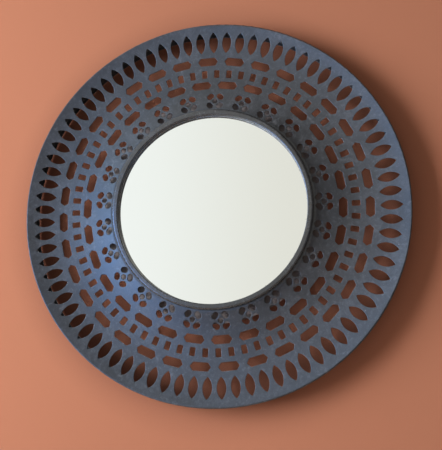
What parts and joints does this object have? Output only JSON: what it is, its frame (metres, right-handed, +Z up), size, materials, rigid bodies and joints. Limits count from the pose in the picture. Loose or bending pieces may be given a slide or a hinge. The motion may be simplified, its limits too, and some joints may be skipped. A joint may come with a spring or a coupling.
{
  "type": "wall mirror",
  "caption": "Round wall mirror in a dished, pierced metal frame with a turned-over rim and a raised bead round the glass, backed by a board under turn buttons and hung by a keyhole strap.",
  "frame": {"origin": "centre of the keyhole's entry hole in the hanger, on the wall", "axes": "+Z up, +Y from the mirror into the wall, so that the face looks along -Y; +X to the viewer's right"},
  "size_m": [0.7999, 0.046, 0.8],
  "materials": {
    "frame_paint": "satin, mottled",
    "mirror": "polished",
    "seal_felt": "felt",
    "block_rubber": "matt",
    "bumper_rubber": "matt",
    "grey_card": "plain",
    "hardboard": "pressed fibre",
    "plated_steel": "zinc plated"
  },
  "bodies": {
    "mirror_frame": {"frame_dish": "frame_paint", "rim_band": "frame_paint", "mirror_bezel": "frame_paint", "glass_seal": "seal_felt", "mirror_glass": "mirror", "glass_blocks": "block_rubber", "cushion_sheet": "grey_card", "backing_board": "hardboard", "well_ring": "frame_paint", "button_rivets": "plated_steel", "button_washers": "plated_steel", "hanger_bracket": "plated_steel", "hanger_rivets": "plated_steel", "wall_bumpers": "bumper_rubber"},
    "turn_button_1": {"turn_button_1": "plated_steel"},
    "turn_button_2": {"turn_button_2": "plated_steel"},
    "turn_button_3": {"turn_button_3": "plated_steel"},
    "turn_button_4": {"turn_button_4": "plated_steel"},
    "turn_button_5": {"turn_button_5": "plated_steel"},
    "turn_button_6": {"turn_button_6": "plated_steel"}
  },
  "joints": [
    {"name": "turn_button_1_turn", "type": "hinge", "parent": "mirror_frame", "child": "turn_button_1", "pos_m": [0.2098, -0.02245, -0.21269], "axis": [0, 1, 0], "continuous": true},
    {"name": "turn_button_2_turn", "type": "hinge", "parent": "mirror_frame", "child": "turn_button_2", "pos_m": [0.1049, -0.02245, -0.031], "axis": [0, 1, 0], "continuous": true},
    {"name": "turn_button_3_turn", "type": "hinge", "parent": "mirror_frame", "child": "turn_button_3", "pos_m": [-0.1049, -0.02245, -0.031], "axis": [0, 1, 0], "continuous": true},
    {"name": "turn_button_4_turn", "type": "hinge", "parent": "mirror_frame", "child": "turn_button_4", "pos_m": [-0.2098, -0.02245, -0.21269], "axis": [0, 1, 0], "continuous": true},
    {"name": "turn_button_5_turn", "type": "hinge", "parent": "mirror_frame", "child": "turn_button_5", "pos_m": [-0.1049, -0.02245, -0.39438], "axis": [0, 1, 0], "continuous": true},
    {"name": "turn_button_6_turn", "type": "hinge", "parent": "mirror_frame", "child": "turn_button_6", "pos_m": [0.1049, -0.02245, -0.39438], "axis": [0, 1, 0], "continuous": true}
  ]
}
